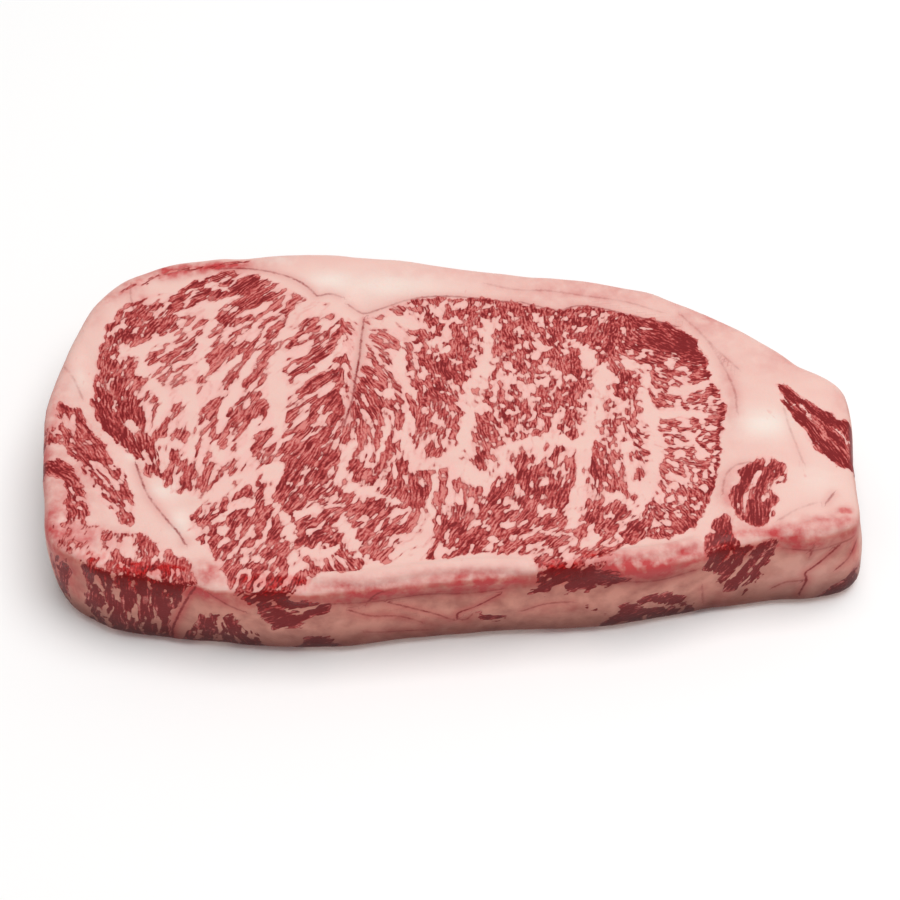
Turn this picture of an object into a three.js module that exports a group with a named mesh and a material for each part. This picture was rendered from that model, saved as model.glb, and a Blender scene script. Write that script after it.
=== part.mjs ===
// A raw striploin steak: one thick slice cut straight across a heavily marbled beef loin, lying on its cut face.
// Millimetres, +Z up. X runs along the slice, from the broad rib side to the narrow tail. Y runs from the trimmed
// flank side, at the front, to the fat cap at the back. The origin is at the middle of the foot of the bounding box.
import * as THREE from 'three';
import { mergeVertices } from 'three/addons/utils/BufferGeometryUtils.js';
import { ImprovedNoise } from 'three/addons/math/ImprovedNoise.js';

// Driving dimensions
const THICKNESS = 28; // between the two cut faces
const TOP_ROUND = 2.6; // how far the upper cut face rounds over into the side
const FOOT_ROUND = 3.6; // the same where the side turns under on to the surface it lies on
const SIDE_BELLY = 0.9; // how far the side swells out at half height
const TAIL_FLARE = 3.0; // how much further out the foot of the narrow tail stands than its top
const TAIL_FLARE_FROM = 40; // where along X that flare begins
const TAIL_END = 108; // and where it is full

// Outline of the side at half height, anticlockwise seen from above, from the middle of the tail's end
const OUTLINE = [
  [105.9, -15], [106.8, -1], [105.6, 8], [100, 14], [87.2, 23.1], [71.7, 34.6], [56, 43], [46, 45], [39, 46.6],
  [26, 48.2], [14, 49.6], [0, 51.5], [-14, 55], [-26, 55.9], [-39, 56.8], [-57, 56.1], [-76, 54.5], [-88.8, 49.3],
  [-97.8, 39.6], [-103.4, 26.2], [-105.4, 16.5], [-108, 6], [-109, -2], [-107.5, -12], [-106.1, -27], [-102.2, -42.2],
  [-90.8, -51.4], [-76, -54.1], [-64, -56.3], [-53, -57.7], [-38, -58], [-25, -56.8], [-3, -54.2], [20, -52.8],
  [36, -51.2], [50, -49.9], [66, -45.9], [82, -42.4], [97, -41], [105.2, -37.2], [106.4, -26],
];
const SPINE = { tail: [84, -11], rib: [-80, 3] }; // both cut faces are laid out in rings round this line

// Fineness of the mesh
const AROUND = 176;
const TOP_RINGS = 13;
const ROUND_RINGS = 3;
const SIDE_RINGS = 7;
const SIDE_RING_CROWDING = 1.3; // over 1 sets the rings closer together near the top, where the lips of fat are
const FOOT_RINGS = 2;

// Relief of the upper cut face. A valley follows a seam between two muscles, and a swell is a soft pad of fat.
const FACE_WAVE = { height: 0.55, length: 34 };
const FACE_RIPPLE = { height: 0.28, length: 11 };
const VALLEYS = [
  { path: [[-25, 41], [-26, 26], [-29, 8]], depth: 0.9, width: 2.4 }, // between the two halves of the eye
  { path: [[-98, 18], [-84, -14], [-66, -38]], depth: 1.3, width: 2.8 }, // between the eye and the side strap
  { path: [[-60, 55], [-38, 49], [-24, 41], [-6, 46], [34, 41], [62, 30]], depth: 0.7, width: 2.2 }, // under the cap
  { path: [[62, 30], [72, 8], [66, -22], [52, -36]], depth: 0.6, width: 2.6 }, // round the tail end of the eye
];
const SWELLS = [
  { at: [0, 52], reach: [75, 7], height: 0.8 }, // fat cap
  { at: [88, -12], reach: [20, 26], height: 1.6 }, // fat of the tail
  { at: [26, -49], reach: [30, 5], height: 1.2 }, // lip along the front edge
  { at: [-18, -51], reach: [18, 5], height: 0.9 },
  { at: [-95, 34], reach: [12, 16], height: 0.7 }, // shoulder of fat over the strap
];

// Relief of the side. A crease runs from top to foot where two muscles or a muscle and its fat meet.
const SIDE_LUMP = { height: 0.9, length: 23 };
const SIDE_DIMPLE = { height: 0.5, length: 8 };
const CREASES = [
  { at: [-69.7, -56], slant: 0.4, depth: 1.4, width: 2.2 },
  { at: [-33, -57], slant: -1.1, depth: 0.8, width: 2.6 },
  { at: [7, -54], slant: 0.9, depth: 0.7, width: 2.4 },
  { at: [68, -44], slant: 0.1, depth: 1.2, width: 2.6 },
  { at: [79, -43], slant: 0.6, depth: 0.8, width: 2.2 },
  { at: [94, -41], slant: 0.5, depth: 0.8, width: 1.8 },
  { at: [-96, -49], slant: -0.2, depth: 0.9, width: 3.0 },
  { at: [-109, -4], slant: 0.3, depth: 1.0, width: 3.4 },
  { at: [-92, 50], slant: 0.4, depth: 0.8, width: 3.4 },
  { at: [98, 17], slant: -0.3, depth: 0.8, width: 3.0 },
  { at: [107, -14], slant: 0.2, depth: 1.2, width: 2.8 },
];
const CREASE_FADE = 9; // height above the foot over which the creases run out

// Rolls of fat that overhang the front from its upper edge, each from one X to another
const LIPS = [
  { from: -66, to: -57, out: 0.9 },
  { from: -40, to: 21, out: 1.1 },
  { from: 37, to: 66, out: 1.0 },
  { from: 83, to: 106, out: 0.5 },
];
const LIP_LEVEL = 26.4; // height of the middle of a roll
const LIP_HALF = 1.5;
const LIP_ENDS = 3.5; // length over which a roll dies out

const noise = new ImprovedNoise();
const smooth = (from, to, value) => THREE.MathUtils.smoothstep(value, from, to);

function wave({ height, length }, x, y, z) {
  return height * noise.noise(x / length + 7.3, y / length + 2.9, z / length + 5.1);
}

function distanceToPath(path, x, y) {
  const point = new THREE.Vector3(x, y, 0);
  const nearest = new THREE.Vector3();
  const gaps = path.slice(1).map((end, i) => {
    const stretch = new THREE.Line3(new THREE.Vector3(...path[i], 0), new THREE.Vector3(...end, 0));
    return stretch.closestPointToPoint(point, true, nearest).distanceTo(point);
  });
  return Math.min(...gaps);
}

function faceRelief(x, y) {
  let height = wave(FACE_WAVE, x, y, 0) + wave(FACE_RIPPLE, x, y, 0);
  for (const { path, depth, width } of VALLEYS) {
    height -= depth * Math.exp(-((distanceToPath(path, x, y) / width) ** 2));
  }
  for (const { at, reach, height: rise } of SWELLS) {
    height += rise * Math.exp(-(((x - at[0]) / reach[0]) ** 2) - ((y - at[1]) / reach[1]) ** 2);
  }
  return height;
}

// How far the side stands out from the outline at a point on it, before its ends round over.
function sideRelief(x, y, z) {
  const level = z / THICKNESS;
  let out = SIDE_BELLY * Math.sin(Math.PI * level) + wave(SIDE_LUMP, x, y, z) + wave(SIDE_DIMPLE, x, y, z);
  out += TAIL_FLARE * smooth(TAIL_FLARE_FROM, TAIL_END, x) * (0.5 - level);
  for (const { at, slant, depth, width } of CREASES) {
    const along = Math.hypot(x - at[0] - slant * (z - THICKNESS / 2), y - at[1]);
    out -= depth * Math.exp(-((along / width) ** 2)) * smooth(0, CREASE_FADE, z);
  }
  for (const { from, to, out: roll } of y < 0 ? LIPS : []) {
    const within = smooth(from - LIP_ENDS, from + LIP_ENDS, x) * (1 - smooth(to - LIP_ENDS, to + LIP_ENDS, x));
    out += roll * within * Math.exp(-(((z - LIP_LEVEL) / LIP_HALF) ** 2));
  }
  return out;
}

// The rings from the spine of the upper face, over the side, to the spine of the lower face. Each has its share of
// the way out from the spine, its inset from the side, and its height.
function sectionRings() {
  const rings = [];
  for (let i = 0; i < TOP_RINGS; i++) {
    rings.push({ share: i / TOP_RINGS, inset: TOP_ROUND, z: THICKNESS });
  }
  for (let i = 0; i <= ROUND_RINGS; i++) {
    const turn = (Math.PI / 2) * (i / ROUND_RINGS);
    const inset = TOP_ROUND * (1 - Math.sin(turn));
    rings.push({ share: 1, inset, z: THICKNESS - TOP_ROUND * (1 - Math.cos(turn)) });
  }
  const wall = THICKNESS - TOP_ROUND - FOOT_ROUND;
  for (let i = 1; i < SIDE_RINGS; i++) {
    rings.push({ share: 1, inset: 0, z: THICKNESS - TOP_ROUND - wall * (i / SIDE_RINGS) ** SIDE_RING_CROWDING });
  }
  for (let i = 0; i <= ROUND_RINGS; i++) {
    const turn = (Math.PI / 2) * (i / ROUND_RINGS);
    rings.push({ share: 1, inset: FOOT_ROUND * (1 - Math.cos(turn)), z: FOOT_ROUND * (1 - Math.sin(turn)) });
  }
  for (let i = FOOT_RINGS - 1; i >= 0; i--) {
    rings.push({ share: i / FOOT_RINGS, inset: FOOT_ROUND, z: 0 });
  }
  return rings;
}

const curve = new THREE.CatmullRomCurve3(OUTLINE.map(([x, y]) => new THREE.Vector3(x, y, 0)), true, 'centripetal');
curve.arcLengthDivisions = 2000;

// The point of a ring that lies at a share u of the way round the outline. Columns as far from the tail's end along
// the front as along the back share their point of the spine, which closes the face there.
function surfacePoint(u, { share, inset, z }) {
  const edge = curve.getPointAt(u % 1);
  const along = curve.getTangentAt(u % 1);
  const outward = new THREE.Vector3(along.y, -along.x, 0);
  const reach = sideRelief(edge.x, edge.y, z) - inset;
  const point = edge.addScaledVector(outward, reach);
  const fromTail = 1 - Math.abs(1 - 2 * u);
  const spine = new THREE.Vector3(...SPINE.tail, 0).lerp(new THREE.Vector3(...SPINE.rib, 0), fromTail);
  point.lerpVectors(spine, point, share);
  const lift = smooth(THICKNESS - TOP_ROUND * 1.5, THICKNESS, z); // the face's relief fades out down the side
  point.z = z + lift * faceRelief(point.x, point.y);
  return point;
}

// A plane's grid wrapped into a closed skin: its rows are laid on the section's rings and its columns run round.
function steakGeometry() {
  const rings = sectionRings();
  const grid = new THREE.PlaneGeometry(1, 1, AROUND, rings.length - 1);
  const place = grid.getAttribute('position');
  for (let i = 0; i < place.count; i++) {
    const row = Math.floor(i / (AROUND + 1));
    const column = i % (AROUND + 1);
    place.setXYZ(i, ...surfacePoint(column / AROUND, rings[row]));
  }
  grid.deleteAttribute('normal');
  grid.deleteAttribute('uv');
  const closed = mergeVertices(grid, 1e-3);
  closed.computeBoundingBox();
  const middle = closed.boundingBox.getCenter(new THREE.Vector3());
  closed.translate(-middle.x, -middle.y, -closed.boundingBox.min.z);
  closed.computeVertexNormals();
  return closed;
}

const rawBeef = new THREE.MeshStandardMaterial({ color: 0xc98078, roughness: 0.45, metalness: 0 });

const steak = new THREE.Mesh(steakGeometry(), rawBeef);
steak.name = 'striploin_steak';

const part = new THREE.Group();
part.name = 'raw_striploin_steak';
part.add(steak);

export default part;
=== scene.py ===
# A raw striploin steak, heavily marbled: one slice of beef loin lying on its cut face.
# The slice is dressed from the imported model's own solid. Lengths in the tables are millimetres.
import math

import bmesh
import bpy
import numpy as np
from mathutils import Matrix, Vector, noise


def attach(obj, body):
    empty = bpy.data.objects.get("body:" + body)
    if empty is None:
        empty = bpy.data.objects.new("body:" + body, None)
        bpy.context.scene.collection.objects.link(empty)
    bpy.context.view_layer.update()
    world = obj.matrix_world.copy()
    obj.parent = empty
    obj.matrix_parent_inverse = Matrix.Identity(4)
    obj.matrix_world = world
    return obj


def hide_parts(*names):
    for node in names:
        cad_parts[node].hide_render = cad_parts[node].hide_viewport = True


bl_info = {
    "name": "Raw Striploin Steak",
    "version": (1, 0, 0),
    "blender": (4, 5, 0),
    "location": "View3D > Sidebar > Steak",
    "description": "Dresses a raw marbled striploin steak and lights it on a pale floor",
    "category": "Object",
}

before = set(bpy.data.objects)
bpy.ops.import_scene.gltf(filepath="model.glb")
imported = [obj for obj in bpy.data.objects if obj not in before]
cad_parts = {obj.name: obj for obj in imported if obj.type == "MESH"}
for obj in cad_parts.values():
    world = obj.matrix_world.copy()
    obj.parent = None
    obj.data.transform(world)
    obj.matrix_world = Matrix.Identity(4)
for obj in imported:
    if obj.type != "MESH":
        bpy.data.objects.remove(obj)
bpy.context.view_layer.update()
CAD_NODE = "striploin_steak"
CAD_BODY = "root"
MM = 0.001  # one millimetre in Blender's metres
TABLES_FROM = np.array([0.286, 1.463, 0.0])  # where the tables' own origin lies in the model's frame

# Muscles that show on the cut face, from above. Each outline is a closed smooth curve through its points.
EYE = [
    (-75, 42.5), (-69, 46.8), (-61, 49), (-53, 47.2), (-46, 43.2), (-40, 39.4), (-32, 37.6), (-25.5, 33),
    (-19, 35),
    (-10, 38.8), (2, 39.6), (14, 38.2), (24, 36.2), (30, 35.2), (37, 36.6), (48, 33.4), (60, 30), (66, 24.4),
    (69.4, 15), (70, 9), (72.8, 0), (71.2, -10), (70.2, -18), (67.2, -28), (64, -37), (57, -42), (48, -43),
    (41, -48), (37, -55), (23, -56), (19.6, -49), (8, -47.8), (-2, -49.6), (-12, -50.4), (-20, -50.6),
    (-26, -53.6),
    (-34, -54), (-40, -61), (-54, -61), (-57.6, -53), (-64, -43.5), (-68, -36), (-65, -31), (-72, -27.6),
    (-79, -21), (-84.5, -14), (-90.5, -9.6), (-94.6, -2), (-96.4, 9), (-95.6, 20), (-93, 31), (-88, 38.4),
    (-81, 41),
]
STRAP_INNER = [
    (-106, 0.5), (-101, 1.5), (-96.5, -4), (-91.5, -12), (-86, -20.5), (-82.2, -29), (-81.4, -36),
    (-84, -38.6),
    (-88, -34), (-92.4, -28), (-97, -19), (-102, -12.5),
]
STRAP_OUTER = [
    (-107, -17), (-103, -16), (-98.5, -19.5), (-95.5, -26), (-93, -33), (-94.5, -39.5), (-98.5, -38),
    (-100.4, -31),
    (-101, -24), (-106, -21),
]
STRAP_NUB = [(-108, -6.4), (-103.4, -5.4), (-102.2, -9), (-104.6, -12.6), (-108, -11)]
STRAP_FRONT = [
    (-103, -46), (-102, -38), (-94, -37), (-87, -40), (-79, -40.6), (-75, -45), (-69, -48), (-65.5, -52),
    (-68, -60),
    (-98, -60),
]
TAIL_WEDGE = [
    (86.6, 7.8), (90.6, 5.4), (96, 1), (102, -3.6), (109, -7), (109, -19), (103, -20.6), (97.4, -17),
    (93, -10),
    (89.4, -2),
]
TAIL_KNOT = [
    (73.6, -20.6), (78, -18.8), (83, -16.8), (86.4, -19.4), (86.8, -25), (83.6, -27.4), (84, -31),
    (81.4, -38),
    (76.6, -39.4), (73, -34), (70.8, -30), (72, -26.4), (74.8, -25),
]
TAIL_STRIP = [(66.4, -39), (69.4, -34.8), (71.6, -36.4), (72.4, -42), (76, -48), (66, -50), (64.6, -46)]
RIB_SLIVER = [
    (-92, 42), (-86, 46), (-80, 49), (-72, 51.4), (-62, 53), (-56, 53.4), (-56, 52), (-64, 50.6), (-73, 48.4),
    (-80, 45.8), (-86, 43), (-90, 40.2),
]
MUSCLES = [
    EYE, RIB_SLIVER, STRAP_INNER, STRAP_OUTER, STRAP_NUB, STRAP_FRONT, TAIL_WEDGE, TAIL_KNOT, TAIL_STRIP,
]

# Seams and pads of fat inside the muscles: points along the middle, each with half its width there.
FAT_STROKES = [
    [(-31, 37, 4.0), (-28, 33, 2.0), (-24.4, 29, 1.8), (-25, 20, 1.6), (-26, 11, 1.5), (-27.4, 2, 1.0),
     (-29, -8, 0.4)],
    [(-41, 36, 2.4), (-44, 28, 2.4), (-46.5, 20, 2.4), (-47.4, 12, 2.7), (-46.4, 5, 2.6), (-46, -2, 2.0),
     (-46, -7, 1.4)],
    [(-38.4, 38, 2.0), (-36, 33.4, 2.2), (-34.4, 29, 1.4)],
    [(-48, 4, 2.0), (-42, 8.5, 1.8), (-37, 12.5, 1.6), (-32.5, 18, 1.4), (-29.5, 25, 1.2)],
    [(-80, -26, 3.4), (-73, -31, 3.6), (-66, -30, 2.8), (-60, -27.5, 3.0), (-54, -23.5, 2.8),
     (-46, -20, 2.6)],
    [(-46.5, -20, 2.4), (-47.5, -26, 1.9), (-45.6, -31, 1.6), (-42.6, -37, 1.0), (-41, -44, 1.2),
     (-40, -52, 2.0)],
    [(-11.5, -2, 1.3), (-12.4, -9, 1.6), (-11, -15, 1.6), (-8, -18.6, 1.8), (-2, -17.4, 2.2), (2, -12, 1.6),
     (3, -7, 0.9)],
    [(2, -16, 2.4), (5, -22, 2.9), (10, -22.4, 2.4), (14, -15.6, 2.4), (19, -12, 2.2), (25, -10, 2.0),
     (33, -12, 2.2)],
    [(-4.6, -20, 1.0), (-4.6, -26, 1.1), (-5.6, -32, 1.4), (-7.2, -37, 2.6), (-8, -43, 3.4), (-11, -49, 4.6)],
    [(9.5, 30, 1.2), (9.8, 22, 1.6), (9, 15, 2.0), (6.6, 8, 3.4), (5.4, 2, 3.0), (4, -5, 1.8), (3, -13, 2.4)],
    [(41, 15, 2.0), (40, 8, 2.4), (39, 2, 1.8), (37, -5, 2.4), (35, -13, 2.2), (33.6, -22, 1.8),
     (31.6, -32, 1.9), (31, -39, 1.2)],
    [(47, 16, 2.6), (52, 12, 1.4), (51.4, 5, 1.4), (53, -3, 2.2), (53.6, -12, 2.5), (52.4, -20, 2.0),
     (50, -28, 2.0), (48, -34, 1.2)],
    [(59.6, 6, 1.8), (65, 7.4, 1.4), (69, 9.4, 0.8)],
    [(55, -2.4, 1.8), (60.6, -1.6, 1.6), (67, -2.2, 1.2)],
    [(46, -12, 1.4), (46.4, -19, 1.4), (47.6, -27, 1.2)],
    [(-73, 33.6, 1.8), (-66.5, 36, 2.3), (-61, 38.6, 1.2)],
    [(-66, 35, 1.6), (-65.6, 29, 1.2), (-68, 23.5, 1.0)],
    [(-67, 44.6, 1.3), (-62.6, 42.6, 1.1)],
    [(-89, 19.6, 1.4), (-83, 20.6, 2.2), (-78, 23.6, 1.6), (-72, 27.6, 1.2)],
    [(-84, 19, 1.5), (-83.4, 13.6, 1.5), (-80, 8.6, 1.2), (-76.6, 3, 1.4), (-78, -4, 0.9)],
    [(-70.6, 7, 2.6), (-69, 0, 2.3), (-68, -8, 2.0), (-68.6, -16, 1.2)],
    [(-66, 24, 1.2), (-67.4, 16, 1.5), (-63.6, 10, 1.2), (-58, 18, 0.9)],
    [(-52, 20, 1.2), (-56, 12, 1.2), (-58.6, 4, 1.5), (-61, -2, 1.2)],
    [(-76, -11, 1.8), (-75, -18, 1.8)],
    [(-62.6, -12.6, 1.6), (-60, -16.6, 1.3)],
    [(-55, -15, 1.2), (-51.6, -4, 1.0)],
    [(-86, -4.6, 1.2), (-82.6, -7.6, 0.9)],
    [(-83.6, 37.4, 1.0), (-81, 38.6, 1.8), (-77.4, 41.4, 1.2)],
    [(-17, 6, 0.9), (-17.6, -6, 0.9), (-18.8, -18, 0.6)],
    [(-21, 30, 1.6), (-14, 31, 2.2), (-10.4, 29.4, 1.6)],
    [(-13.4, 22, 1.4), (-13.8, 13, 1.4), (-10, 4, 1.0)],
    [(-5.6, 23, 1.5), (-1.6, 21, 1.3)],
    [(-26, -12, 1.0), (-29, -20, 1.6), (-26, -26, 1.8), (-20, -28, 1.6), (-13, -31, 1.0)],
    [(-28, -38, 1.8), (-25.6, -43, 1.6), (-24, -48, 1.0)],
    [(-38, -46, 1.2), (-32, -47.6, 1.4), (-29, -44.6, 1.0)],
    [(-35, -33.6, 1.3), (-40, -35, 1.0)],
    [(31, 24.4, 1.0), (36, 21, 1.2), (38, 16, 1.2)],
    [(23, -12, 1.4), (22.6, -18, 0.8)],
    [(41, -28.4, 1.0), (46, -31.4, 1.3)],
    [(33, -45.4, 1.2), (37.4, -42.4, 1.3)],
    [(58.6, 17, 1.5), (58.8, 16, 1.5)],
    [(-61.5, -38, 0.6), (-57.4, -33.6, 0.9)],
    [(-58.6, -35.6, 0.8), (-58, -41, 1.0)],
    [(79.6, -22.6, 1.0), (76.4, -29, 1.1), (75, -34, 0.7)],
    [(85.4, -23.6, 1.2), (81.6, -28, 0.9), (79.8, -31, 0.6)],
    [(91.4, 1, 0.7), (96.6, -6, 0.9), (99, -10.6, 1.0), (104, -15, 1.2)],
    [(96, -2.6, 0.6), (101, -8, 0.8), (107, -12.6, 0.9)],
    [(-103, -14, 1.2), (-99.4, -16, 1.0)],
    [(-89.4, -48, 1.0), (-91, -43, 1.4)],
    [(-80.6, -49, 1.0), (-82.6, -43.4, 1.5)],
    [(-71.6, -51, 0.8), (-74, -47.4, 0.9)],
]

# Thick masses of lean, told the same way.
LEAN_STROKES = [
    [(-15, 37, 0.7), (-6, 39, 0.8), (4, 39.2, 0.8), (14, 37.8, 0.8), (24, 35.6, 0.9)],
    [(30, 34.8, 0.9), (37, 36, 1.0), (48, 32.8, 1.0), (60, 29.4, 1.0)],
    [(59, 30, 1.2), (65.4, 24, 1.2), (68.8, 15, 1.1), (69.4, 9, 1.1), (72.2, 0, 1.1), (70.6, -10, 1.1),
     (69.6, -18, 1.1)],
    [(72.2, 0, 1.0), (70.6, -10, 1.0), (69.6, -18, 1.1), (66.7, -28, 1.1), (63.5, -36.5, 1.1),
     (57, -41.4, 1.0)],
    [(68.8, 15, 1.0), (69.4, 9, 1.0), (72.2, 0, 1.0)],
    [(-73.6, 42.6, 1.4), (-67, 46.8, 1.6), (-58, 48, 1.4)],
    [(-61, 40, 1.2), (-56.4, 44, 2.0), (-53, 46.4, 1.4)],
    [(-64.6, 31, 1.4), (-58, 35.6, 2.0), (-51, 39, 1.4)],
    [(-94, 7, 1.6), (-92, -3, 2.0), (-88.6, -8.6, 1.8), (-83.4, -15, 1.6)],
    [(-90, 12, 1.6), (-87, 4, 2.0), (-87, -2, 1.6)],
    [(-94.4, 20, 1.4), (-91.4, 15, 1.3)],
    [(-87.6, 29, 1.2), (-87.4, 25, 1.3)],
    [(-46, 10.4, 1.0), (-39, 14.6, 1.8), (-34.6, 19, 1.2)],
    [(-43, 3, 1.0), (-36, 9, 2.0), (-30, 13, 1.4)],
    [(-34, 2, 1.8), (-31, 6, 1.6)],
    [(-6, 34, 1.6), (-5.6, 31, 1.6)],
    [(-9, 28, 0.9), (-8.4, 20.6, 1.2)],
    [(4, 17, 1.6), (6, 15.4, 1.2)],
    [(-3, 18, 1.6), (-2.4, 13.6, 1.6)],
    [(34, 31, 2.2), (33.6, 18, 2.0), (33, 9, 1.8)],
    [(44, 29, 2.0), (42.4, 21.6, 1.6)],
    [(47, 11, 1.4), (46, 6, 2.2)],
    [(50, 22, 1.4), (56, 22.6, 1.8), (66, 21, 2.6)],
    [(62, 26, 2.2), (67, 18, 1.8)],
    [(37.6, -12, 1.0), (37.2, -22, 1.6), (38.6, -26, 1.6)],
    [(36, -33, 1.8), (37, -37, 1.4)],
    [(-8, -21, 1.0), (-7.4, -29, 1.5), (-7, -34.4, 0.6)],
    [(2.6, -14, 1.2), (2.8, -14.6, 1.0)],
    [(7.6, -16, 1.4), (7.6, -20, 1.0)],
    [(-48, -36, 1.8), (-45.6, -41.6, 1.8)],
    [(-36.6, -41.4, 2.0), (-32, -39, 1.6)],
    [(78, -21, 1.6), (76.4, -33, 1.8), (79, -37, 1.6)],
]

# How the lean lies on the cut face: x, y, direction of its grain in degrees, half the length of a streak,
# lean potential (0 is half lean and half fat, 1 about three quarters, 2 nearly all lean), and how far it
# thins out into curled threads.
FACE_GRAIN = [
    (-92, 28, 78, 1.6, 1.0, 0), (-93, 14, 88, 1.6, 0.2, 0.1), (-93, 2, 100, 2.4, 1.3, 0),
    (-88, -8, 112, 2.6, 1.6, 0),
    (-82, -16, 114, 2.4, 1.5, 0), (-84, 33, 60, 2.0, 0.8, 0), (-70, 44, 40, 3.0, 1.3, 0),
    (-57, 45, 43, 3.4, 1.0, 0),
    (-48, 40, 42, 3.8, -0.3, 0), (-78, 17, 40, 2.2, -0.1, 0), (-84, 9, 62, 2.0, 0.3, 0),
    (-62, 32, 50, 3.4, 0.1, 0),
    (-58, 20, 57, 4.2, 0.1, 0), (-72, 8, 52, 3.0, -0.6, 0), (-60, 2, 62, 3.8, 0.4, 0),
    (-76, -6, 72, 2.8, -0.5, 0),
    (-62, -12, 64, 3.0, -0.5, 0), (-72, -21, 82, 2.4, 0.6, 0), (-52, -10, 58, 3.4, 0.1, 0),
    (-40, 22, 44, 3.4, 0.4, 0),
    (-38, 7, 42, 3.8, -0.1, 0), (-42, -8, 55, 3.2, 0.2, 0), (-32, -4, 60, 3.2, 0.5, 0),
    (-34, -18, 62, 3.0, 1.4, 0),
    (-42, -26, 65, 2.6, 1.7, 0), (-32, -28, 45, 2.0, -0.1, 0.2), (-35, -42, 45, 1.6, 0.7, 0),
    (-27, -50, 130, 2.0, 0.6, 0),
    (-62, -36, 60, 1.4, 0.9, 0.1), (-55, -38, 64, 2.0, 0.7, 0), (-48, -42, 56, 2.4, 0.2, 0),
    (-50, -51, 62, 2.2, 0.7, 0),
    (-19, 25, 135, 2.6, -1.2, 0), (-19, 12, 126, 3.0, -0.3, 0), (-22, 2, 118, 3.0, 1.9, 0),
    (-20, -10, 98, 3.4, -1.6, 0),
    (-14, -12, 84, 3.2, 1.2, 0), (-24, -22, 66, 2.2, 0.9, 0), (-18, -36, 50, 2.4, 1.0, 0),
    (-20, -45, 50, 2.0, -0.2, 0),
    (-4, 29, 98, 1.3, 0.4, 0), (-8, 14, 94, 1.4, 0.6, 0), (-1, 6, 108, 1.4, 0.7, 0),
    (-4, -8, 74, 2.2, 0.2, 0),
    (-5, -28, 94, 2.6, 0.2, 0), (1, -28, 90, 2.6, -0.2, 0), (6, 30, 80, 1.2, 0.4, 0),
    (6, -9, 108, 1.6, 0.3, 0),
    (15, 30, 92, 1.2, 0.7, 0), (15, 14, 94, 1.2, -0.2, 0), (22, 24, 106, 1.2, 0.9, 0),
    (24, 8, 96, 1.2, 0.1, 0.1),
    (18, -4, 90, 1.3, 0.5, 0), (33, 14, 86, 1.3, -0.1, 0), (31, 0, 82, 1.3, 0.7, 0),
    (27, -18, 78, 2.4, 0.2, 0),
    (4, -42, 58, 2.0, 1.1, 0), (14, -34, 54, 2.2, 0.6, 0), (11, -44, 58, 2.0, 1.0, 0),
    (21, -27, 76, 2.4, 1.5, 0),
    (24, -40, 46, 2.2, 0.4, 0), (36, -34, 72, 1.8, 0, 0), (33, -46, 50, 1.6, 0.1, 0),
    (44, -22, 98, 1.8, 0.5, 0),
    (46, -38, 46, 1.8, 1.0, 0), (38, 29, 72, 1.1, 1.0, 0.2), (45, 26, 70, 1.1, 0.8, 0.3),
    (54, 26, 150, 1.3, 2.1, 0.2),
    (62, 22, 150, 1.4, 2.4, 0.15), (53, 19, 165, 1.6, 0.9, 0.2), (65, 13, 190, 1.4, 0.9, 0.3),
    (46, 7, 84, 1.2, 0.4, 0),
    (41, -4, 94, 1.3, -0.3, 0), (56, 9, 120, 1.1, 0.3, 0.1), (63, 2, 185, 1.4, -0.3, 0.6),
    (66, -8, 185, 1.2, 0.2, 0.7),
    (58, -11, 165, 1.2, 0.4, 0.7), (64, -17, 180, 1.2, 0.0, 0.95), (58, -25, 115, 1.2, -0.5, 0.7),
    (64, -31, 100, 1.2, 1.5, 0.8), (57, -37, 140, 1.4, 0.3, 0.3), (-98, -6, 126, 2.8, 1.2, 0.1),
    (-91, -18, 126, 2.8, 0.2, 0.2), (-86, -30, 120, 2.0, 0.5, 0.5), (-97, -29, 112, 1.4, 1.4, 0.7),
    (-103, -18, 150, 1.4, 2.6, 0.3), (-105, -9, 90, 1.4, -0.5, 0.3), (-95, -45, 62, 1.8, -0.7, 0.2),
    (-84, -46, 85, 2.4, 0.5, 0.1), (-72, -50, 90, 2.4, 0.8, 0), (96, -4, 126, 4.4, 3.2, 0),
    (101, -14, 116, 3.6, 2.8, 0),
    (80, -22, 68, 3.0, 2.2, 0), (77, -33, 84, 2.6, 2.0, 0), (69, -41, 70, 2.4, 2.2, 0),
    (-76, 48.6, 22, 3.0, -0.9, 0),
    (-64, 51.2, 14, 3.0, 0.2, 0), (-88, 44, 45, 2.2, -0.6, 0),
]

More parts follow.
